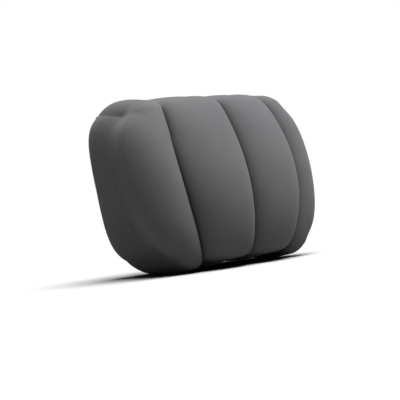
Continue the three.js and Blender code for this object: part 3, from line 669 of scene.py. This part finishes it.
def ease_sides(grid):
    points = grid["points"]
    near = [set() for _ in points]
    for face in grid["faces"][:-1]:
        for a, b in zip(face, face[1:] + face[:1]):
            near[a].add(b)
            near[b].add(a)
    distance = {i: 0 for i in grid["rim"]}
    front = list(grid["rim"])
    for step in range(1, EASE_STEPS):
        front = sorted({n for i in front for n in near[i] if n not in distance})
        distance.update({i: step for i in front})
    rim_half = max(abs(points[i].x) for i in grid["rim"])
    weights = {}
    for i, step in distance.items():
        sideways = min(max((abs(points[i].x) / rim_half - SIDE_FROM) / (1 - SIDE_FROM), 0.0), 1.0)
        if sideways > 0:
            weights[i] = EASE_PULL * sideways * (1 - step / EASE_STEPS)
    before = [points[i].copy() for i in weights]
    for _ in range(EASE_ROUNDS):
        middles = {i: sum((points[n] for n in near[i]), Vector()) / len(near[i]) for i in weights}
        for i, weight in weights.items():
            points[i] = points[i].lerp(middles[i], weight)
    moved = max((points[i] - old).length for i, old in zip(weights, before))
    print("side seams eased by up to", round(moved / MM, 1), "mm")
    for point in points:
        point.z = max(point.z, FLOOR_GAP)


ease_sides(cover)

# %% [markdown]
# ## The cover's panels
#
# The puffed grid is cut where the real cover is sewn, into four lobe panels and the side band. Each gets
# one round of subdivision for a fine surface and a thickness inwards, so that it is a real sheet with an
# edge, not a skin.

# %% Lobe panels and side band
PANEL_THICKNESS = 1.6 * MM


def cover_panel(name, region, node_name):
    points, faces, threads = part_of(cover, {region})
    panel = mesh_piece(name, points, faces, cover_cloth, threads)
    shape_with(panel, "SUBSURF", levels=1, render_levels=1)
    shape_with(panel, "SOLIDIFY", thickness=PANEL_THICKNESS, offset=-1.0)
    stands_for(panel, "cushion", "cover_knit", node_name)


for number in FACE:
    cover_panel(f"lobe_panel_{number + 1}", number, f"front_lobe_{number + 1}")
cover_panel("side_band_panel", BAND, "side_band")
print("cover panels made")

# %% [markdown]
# ## Foam and liner
#
# Inside the cover is a memory-foam block in a thin jersey bag, so that the cover can be washed without
# dragging on the foam. Both are the cushion's shape, further in. The bag keeps its slit at the back, where
# the foam goes in.

# %% Foam core and its bag
FOAM_INSET = 10 * MM
BAG_INSET = 7.5 * MM
BAG_SHEET = 0.7 * MM
SLIT_HALF_HEIGHT = 9 * MM
INNER_GRID = (10, 26, 12)
slot_low, slot_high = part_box("zip_coil_upper")
zip_z = slot_low.z


def inner_layer(name, inset, node_name, material, slot):
    grid = cushion_grid(*INNER_GRID, inset, inset)
    points, faces, threads = part_of(grid, {*FACE, BAND, BACK})
    return stands_for(mesh_piece(name, points, faces, material, threads), "cushion", slot, node_name)


foam_block = inner_layer("foam_block", FOAM_INSET, "foam_core", foam, "memory_foam")
shape_with(foam_block, "SUBSURF", levels=1, render_levels=1)
liner_bag = inner_layer("liner_bag", BAG_INSET, "foam_liner", liner_cloth, "liner_jersey")


def cut_slit(bag):
    """Opens the bag's back along the zip."""
    shape = bmesh.new()
    shape.from_mesh(bag.data)
    back = max(v.co.y for v in shape.verts) - MM
    doomed = []
    for face in shape.faces:
        at = face.calc_center_median()
        if at.y > back and abs(at.z - zip_z) < SLIT_HALF_HEIGHT and abs(at.x) < slot_high.x:
            doomed.append(face)
    bmesh.ops.delete(shape, geom=doomed, context="FACES")
    shape.to_mesh(bag.data)
    shape.free()
    print("slit opened:", len(doomed), "faces")


cut_slit(liner_bag)
shape_with(liner_bag, "SOLIDIFY", thickness=BAG_SHEET, offset=-1.0)

# %% [markdown]
# ## Panels of the back
#
# The flat back is two panels of spacer mesh with the zip between them. Each is laid as rows of quads
# between the cover's edge and the zip. A flat sheet would look like card, so the cloth is pulled in a
# little at its sewn edge.

# %% Back panels
back_y = back_high.y
hem_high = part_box("back_hem_panel")[1]
SHEET_THICKNESS = 1.4 * MM
PANEL_COLUMNS = 96
EDGE_TUCK = 1.2 * MM
TUCK_REACH = 7 * MM
band_rows = len(cover["rim"])
edge_start = cover["wide"] * cover["high"] + (cover["band_steps"] - 1) * band_rows
back_edge = [cover["points"][i] for i in range(edge_start, edge_start + band_rows)]


def half_width_at(z):
    """Half the width of the back panel's outline at a height."""
    widths = []
    for a, b in zip(back_edge, back_edge[1:] + back_edge[:1]):
        if (a.z - z) * (b.z - z) <= 0 and a.z != b.z:
            share = (z - a.z) / (b.z - a.z)
            widths.append(abs(a.x + (b.x - a.x) * share))
    return max(widths)


def quad_rows(rows, columns):
    """The faces of a sheet whose points run row by row."""
    faces = []
    for i in range(rows):
        for j in range(columns):
            a = i * (columns + 1) + j
            faces.append((a + 1, a, a + columns + 1, a + columns + 2))
    return faces


def back_sheet(name, low, high, rows, sewn_side, node_name):
    """A panel between two heights. sewn_side is 1 if the cover holds its top edge, else -1."""
    points, threads = [], []
    for i in range(rows + 1):
        z = low + (high - low) * i / rows
        half = half_width_at(z)
        for j in range(PANEL_COLUMNS + 1):
            x = half * math.sin((2 * j / PANEL_COLUMNS - 1) * math.pi / 2)
            to_edge = min(half - abs(x), high - z if sewn_side > 0 else z - low)
            tuck = max(0.0, 1 - to_edge / TUCK_REACH) ** 2
            points.append((x, back_y - EDGE_TUCK * tuck, z))
            threads.append((x / MM, z / MM))
    panel = mesh_piece(name, points, quad_rows(rows, PANEL_COLUMNS), spacer_mesh, threads)
    shape_with(panel, "SOLIDIFY", thickness=SHEET_THICKNESS, offset=-1.0)
    stands_for(panel, "cushion", "spacer_mesh", node_name)


EDGE_CLEAR = 0.4 * MM
PANEL_ROWS = 60
HEM_ROWS = 14
top_z = max(p.z for p in back_edge) - EDGE_CLEAR
bottom_z = min(p.z for p in back_edge) + EDGE_CLEAR
back_sheet("back_mesh_panel", back_low.z, top_z, PANEL_ROWS, 1, "back_panel")
back_sheet("hem_mesh_panel", bottom_z, hem_high.z, HEM_ROWS, -1, "back_hem_panel")

# %% [markdown]
# ## Bindings and stitches
#
# Cut edges are bound or turned under, and stitches pull them down. A seam's piping is a tube swept along
# the edge. Stitches are short raised strands, a few millimetres long with a gap between them, so each row
# is one mesh of many small tubes. Drawing them as a texture would be lighter, but real strands catch the
# light from every side.

# %% Tubes and rows of stitches
TUBE_SIDES = 6


def tube(path, radius, closed=False, flat=1.0):
    """Points and faces of a tube along a path. flat squashes it across its second direction."""
    count = len(path)
    points, faces = [], []
    for i, at in enumerate(path):
        before = path[i - 1] if (closed or i > 0) else path[0]
        after = path[(i + 1) % count] if (closed or i < count - 1) else path[-1]
        along = (after - before).normalized()
        side = along.cross(Vector((0, 1, 0)))
        side = side.normalized() if side.length > 0.1 else Vector((0, 0, 1))
        out = side.cross(along).normalized()
        for k in range(TUBE_SIDES):
            turn = 2 * math.pi * k / TUBE_SIDES
            points.append(at + side * radius * math.cos(turn) + out * radius * flat * math.sin(turn))
    for i in range(count if closed else count - 1):
        n = (i + 1) % count
        for k in range(TUBE_SIDES):
            m = (k + 1) % TUBE_SIDES
            faces.append((i * TUBE_SIDES + k, i * TUBE_SIDES + m, n * TUBE_SIDES + m, n * TUBE_SIDES + k))
    if not closed:
        faces.append(tuple(reversed(range(TUBE_SIDES))))
        faces.append(tuple(range((count - 1) * TUBE_SIDES, count * TUBE_SIDES)))
    return points, faces


def tubes_piece(name, paths, radius, material, closed=False, flat=1.0):
    """One mesh of several tubes."""
    points, faces, threads = [], [], []
    for path in paths:
        more, sides = tube(path, radius, closed, flat)
        faces += [tuple(i + len(points) for i in face) for face in sides]
        points += more
        threads += [(i // TUBE_SIDES * 0.5, i % TUBE_SIDES * 0.3) for i in range(len(more))]
    return mesh_piece(name, points, faces, material, threads)


STITCH_MM, STITCH_GAP_MM = 3.0, 1.2
STITCH_DIPS_MM = (0.35, 0.0, -0.12, -0.12, 0.0, 0.35)  # how deep a thread lies along one stitch
POINTS_A_STEP = 7
STITCH_FLATNESS = 0.8
THREAD_RADIUS = 0.28 * MM


def stitch_paths(path):
    """Cuts a path into stitches, each dipping into the cloth at its two ends."""
    length = sum((b - a).length for a, b in zip(path, path[1:]))
    step = (STITCH_MM + STITCH_GAP_MM) * MM
    count = max(1, int(length / step))
    fine = evenly(path, count * POINTS_A_STEP + 1)
    stitches = []
    for i in range(count):
        start = i * POINTS_A_STEP
        strand = fine[start:start + len(STITCH_DIPS_MM)]
        stitches.append([p - Vector((0, dip * MM, 0)) for p, dip in zip(strand, STITCH_DIPS_MM)])
    return stitches


def stitched(name, lines, body="cushion", slot="webbing"):
    paths = [stitch for line in lines for stitch in stitch_paths(line)]
    piece = tubes_piece(name, paths, THREAD_RADIUS, sewing_thread, flat=STITCH_FLATNESS)
    stands_for(piece, body, slot)
    print(name, len(paths), "stitches")
    return piece


PIPING_RADIUS = 1.3 * MM
PIPING_SPREAD = 1.004
piping_at = [Vector((p.x * PIPING_SPREAD, back_y - EDGE_TUCK, middle.z + (p.z - middle.z) * PIPING_SPREAD))
             for p in back_edge]
back_piping = tubes_piece("back_piping", [piping_at], PIPING_RADIUS, webbing_cloth, closed=True)
stands_for(back_piping, "cushion", "webbing")

EDGE_STITCH_IN = 5 * MM
SLOT_CORNER_CLEAR = 3 * MM
SLOT_STITCH_IN = 2 * MM
SLOT_STITCH_HALF_MM = 104
SLOT_STITCH_STEP_MM = 4
STITCH_OFF = 0.15 * MM
STITCH_SINK = 0.3 * MM


def inner_line(inwards, keep):
    """The back's outline, moved in towards the middle, for the points that keep() accepts."""
    line = []
    for p in back_edge:
        spot = Vector((p.x, back_y, p.z))
        line.append(spot + (Vector((0, back_y, middle.z)) - spot).normalized() * inwards)
    kept = [spot for spot in line if keep(spot)]
    return sorted(kept, key=lambda spot: math.atan2(spot.x, spot.z - middle.z))


upper_line = inner_line(EDGE_STITCH_IN, lambda spot: spot.z > back_low.z + SLOT_CORNER_CLEAR)
hem_line = inner_line(EDGE_STITCH_IN, lambda spot: spot.z < hem_high.z - SLOT_CORNER_CLEAR)
hem_line.sort(key=lambda spot: math.atan2(spot.x, middle.z - spot.z))
slot_places = range(-SLOT_STITCH_HALF_MM, SLOT_STITCH_HALF_MM + 1, SLOT_STITCH_STEP_MM)
slot_lines = [[Vector((x * MM, back_y + STITCH_OFF, z)) for x in slot_places]
              for z in (back_low.z + SLOT_STITCH_IN, hem_high.z - SLOT_STITCH_IN)]
sunk_in = Vector((0, STITCH_OFF - STITCH_SINK, 0))
stitched("back_stitching", [[p + sunk_in for p in upper_line], [p + sunk_in for p in hem_line]] + slot_lines)

# %% [markdown]
# ## The zip
#
# A coil zip is two nylon springs, each sewn flat to its tape, that the slider presses together. Each coil
# here is a squashed helix, one turn for each tooth. Teeth of a number 5 coil are about 1.5 mm apart. The
# tapes are thin woven strips behind the panels' edges.

# %% Tapes and coils
TOOTH_MM = 1.5
POINTS_A_TURN = 10
TAPE_COLUMNS = 60
TAPE_ROWS = 4
WIRE_RADIUS = 0.28 * MM


def zip_tape(side):
    low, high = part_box(f"zip_tape_{side}")
    points, threads = [], []
    for i in range(TAPE_ROWS + 1):
        for j in range(TAPE_COLUMNS + 1):
            x = low.x + (high.x - low.x) * j / TAPE_COLUMNS
            z = low.z + (high.z - low.z) * i / TAPE_ROWS
            points.append((x, high.y, z))
            threads.append((x / MM, z / MM))
    tape = mesh_piece(f"tape_{side}", points, quad_rows(TAPE_ROWS, TAPE_COLUMNS), zip_cloth, threads)
    shape_with(tape, "SOLIDIFY", thickness=high.y - low.y, offset=-1.0)
    stands_for(tape, "cushion", "zip_tape", f"zip_tape_{side}")


def zip_coil(side):
    low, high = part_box(f"zip_coil_{side}")
    turns = int((high.x - low.x) / (TOOTH_MM * MM))
    half_deep, half_wide = (high.y - low.y) / 2 - WIRE_RADIUS, (high.z - low.z) / 2 - WIRE_RADIUS
    centre_y, centre_z = (low.y + high.y) / 2, (low.z + high.z) / 2
    path = []
    for i in range(turns * POINTS_A_TURN + 1):
        turn = 2 * math.pi * i / POINTS_A_TURN
        x = low.x + WIRE_RADIUS + (high.x - low.x - 2 * WIRE_RADIUS) * i / (turns * POINTS_A_TURN)
        path.append(Vector((x, centre_y + half_deep * math.cos(turn), centre_z + half_wide * math.sin(turn))))
    coil = tubes_piece(f"coil_{side}", [path], WIRE_RADIUS, coil_nylon)
    stands_for(coil, "cushion", "zip_coil", f"zip_coil_{side}")
    print(coil.name, turns, "teeth")


for side in ("upper", "lower"):
    zip_tape(side)
    zip_coil(side)

# %% [markdown]
# ## Moulded and cast pieces
#
# The slider, its pull, the stops, the keeper and the buckle already have their working shapes in the packed
# model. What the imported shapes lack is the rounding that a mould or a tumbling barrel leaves. Each gets a
# finished copy: the flat facets are joined back to whole faces, and every edge is bevelled by a few tenths
# of a millimetre.

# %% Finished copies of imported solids
FACET_ANGLE = math.radians(1)
EDGE_ANGLE = math.radians(35)


def finished_copy(name, node_name, body, slot, material, edge_mm, segments=3):
    mesh = bpy.data.objects[node_name].data.copy()
    mesh.name = name
    shape = bmesh.new()
    shape.from_mesh(mesh)
    bmesh.ops.remove_doubles(shape, verts=shape.verts, dist=0.01 * MM)
    bmesh.ops.dissolve_limit(shape, angle_limit=FACET_ANGLE, verts=shape.verts, edges=shape.edges)
    shape.to_mesh(mesh)
    shape.free()
    layer = mesh.attributes.get(CLOTH_LENGTHS) or mesh.attributes.new(CLOTH_LENGTHS, "FLOAT_VECTOR", "POINT")
    for vertex, value in zip(mesh.vertices, layer.data):
        value.vector = (vertex.co.x / MM, vertex.co.z / MM, 0)
    for polygon in mesh.polygons:
        polygon.use_smooth = True
    mesh.materials.clear()
    mesh.materials.append(material)
    piece = bpy.data.objects.new(name, mesh)
    bpy.context.scene.collection.objects.link(piece)
    shape_with(piece, "BEVEL", width=edge_mm * MM, segments=segments, limit_method="ANGLE",
               angle_limit=EDGE_ANGLE, harden_normals=True, use_clamp_overlap=True)
    return stands_for(piece, body, slot, node_name)


for name, node_name, body, slot, material, edge_mm in (
    ("slider", "zip_slider", "zip_slider", "zip_metal", painted_zinc, 0.25),
    ("pull", "zip_pull", "zip_pull", "zip_metal", painted_zinc, 0.22),
    ("stop_left", "zip_stop_left", "cushion", "zip_metal", painted_zinc, 0.2),
    ("stop_right", "zip_stop_right", "cushion", "zip_metal", painted_zinc, 0.2),
    ("keeper_loop", "strap_keeper", "keeper", "acetal", acetal, 0.35),
    ("buckle_socket", "buckle_female", "cushion", "acetal", acetal, 0.5),
    ("buckle_plug", "buckle_male", "buckle_male", "acetal", acetal, 0.5),
    ("prong_top", "buckle_prong_upper", "prong_upper", "acetal", acetal, 0.35),
    ("prong_bottom", "buckle_prong_lower", "prong_lower", "acetal", acetal, 0.35),
):
    finished_copy(name, node_name, body, slot, material, edge_mm)
print("finished copies made")

# %% [markdown]
# ## Strap
#
# The strap is 30 mm polypropylene webbing in two lengths, each sewn to the back under a square patch.
# Webbing is stiff and lies flat, so it is made directly from its packed route and only its edges are eased.
# The right-hand length slackens as the buckle is drawn; here it keeps its packed length in a mesh of its own.

# %% Webbing, patches and their stitches
PATCH_STITCH_IN = 2.5 * MM
PATCH_STITCH_OFF = 0.1 * MM
finished_copy("webbing_left", "strap_left", "cushion", "webbing", webbing_cloth, 0.45)
strap_r = finished_copy("webbing_right", "strap_right", "cushion", "webbing", webbing_cloth, 0.45)
patch_boxes = []
for side in ("left", "right"):
    finished_copy(f"patch_{side}", f"strap_patch_{side}", "cushion", "webbing", webbing_cloth, 0.4)
    patch_boxes.append(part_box(f"strap_patch_{side}"))


def box_and_cross(low, high):
    """The square of stitches with a cross in it that holds a strap's end."""
    y = high.y + PATCH_STITCH_OFF
    x0, x1 = low.x + PATCH_STITCH_IN, high.x - PATCH_STITCH_IN
    z0, z1 = low.z + PATCH_STITCH_IN, high.z - PATCH_STITCH_IN
    corners = [Vector((x, y, z)) for x, z in ((x0, z0), (x1, z0), (x1, z1), (x0, z1))]
    sides = [[a, b] for a, b in zip(corners, corners[1:] + corners[:1])]
    return sides + [[corners[0], corners[2]], [corners[1], corners[3]]]


stitched("patch_stitching", [line for low, high in patch_boxes for line in box_and_cross(low, high)])

# %% [markdown]
# ## Care label
#
# A cushion with a washable cover has a small satin label on its back. It is left blank here. Its free edge
# lifts a little, as a label sewn along its top edge does.

# %% Label
label_low, label_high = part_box("care_label")
LABEL_LIFT = 1.6 * MM
LABEL_STEPS = 12
LABEL_OFF = 0.2 * MM
LABEL_SHEET = 0.25 * MM
LABEL_STITCH_DOWN = 1.5 * MM


def care_label():
    points, threads = [], []
    for i in range(LABEL_STEPS + 1):
        v = i / LABEL_STEPS
        for j in range(LABEL_STEPS + 1):
            u = j / LABEL_STEPS
            x = label_low.x + (label_high.x - label_low.x) * u
            z = label_low.z + (label_high.z - label_low.z) * v
            curl = LABEL_LIFT * (1 - v) ** 3 * (0.6 + 0.4 * math.cos(2 * math.pi * u))
            points.append((x, label_low.y + LABEL_OFF + curl, z))
            threads.append((x / MM, z / MM))
    label = mesh_piece("satin_label", points, quad_rows(LABEL_STEPS, LABEL_STEPS), label_cloth, threads)
    shape_with(label, "SUBSURF", levels=1, render_levels=1)
    shape_with(label, "SOLIDIFY", thickness=LABEL_SHEET, offset=0.0)
    stands_for(label, "cushion", "label_satin", "care_label")
    top = label_high.z - LABEL_STITCH_DOWN
    stitched("label_stitching", [[Vector((label_low.x + MM, label_high.y, top)),
                                  Vector((label_high.x - MM, label_high.y, top))]], slot="label_satin")


care_label()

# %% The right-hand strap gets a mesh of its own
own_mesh(strap_r)

# %% [markdown]
# ## Floor and light
#
# The floor is a plain pale sheet. One soft sun stands high on the right and lights the floor evenly to the
# horizon, which a lamp close by wouldn't. A wide sun gives slow shading round each lobe; a sharp one would
# draw hard shadow edges on cloth. The room adds a faint glow from all sides, and the camera sees it as
# plain white.

# %% Floor, room and sun
FLOOR_COLOUR = "#8e8e8e"
ROOM_GLOW = 0.03
SUN_STRENGTH = 12.5
SUN_AZIMUTH = math.radians(30)
SUN_ELEVATION = math.radians(74)
SUN_SPREAD = math.radians(45)
FLOOR_HALF = 60.0


def build_floor():
    material, _, _ = new_material("pale_floor", Roughness=0.95, Specular_IOR_Level=0.0,
                                  Base_Color=linear(FLOOR_COLOUR))
    corners = [(-FLOOR_HALF, -FLOOR_HALF, 0), (FLOOR_HALF, -FLOOR_HALF, 0),
               (FLOOR_HALF, FLOOR_HALF, 0), (-FLOOR_HALF, FLOOR_HALF, 0)]
    mesh_piece("floor", corners, [(0, 1, 2, 3)], material)


def build_room():
    world = bpy.data.worlds.new("room")
    world.use_nodes = True
    bpy.context.scene.world = world
    tree = world.node_tree
    seen = add_node(tree, "ShaderNodeLightPath", out="Is Camera Ray")
    strength = add_node(tree, "ShaderNodeMapRange", {"Value": seen, "To Min": ROOM_GLOW, "To Max": 1.0})
    plug(tree, tree.nodes["Background"], {"Color": linear("#ffffff"), "Strength": strength})


def hang_sun():
    lamp = bpy.data.lights.new("sun", "SUN")
    lamp.energy = SUN_STRENGTH
    lamp.angle = SUN_SPREAD
    sun = bpy.data.objects.new("sun", lamp)
    bpy.context.scene.collection.objects.link(sun)
    towards = Vector((math.sin(SUN_AZIMUTH) * math.cos(SUN_ELEVATION),
                      -math.cos(SUN_AZIMUTH) * math.cos(SUN_ELEVATION),
                      math.sin(SUN_ELEVATION)))
    sun.rotation_euler = towards.to_track_quat("Z", "Y").to_euler()


build_floor()
build_room()
hang_sun()
bpy.context.scene.view_settings.view_transform = "Standard"
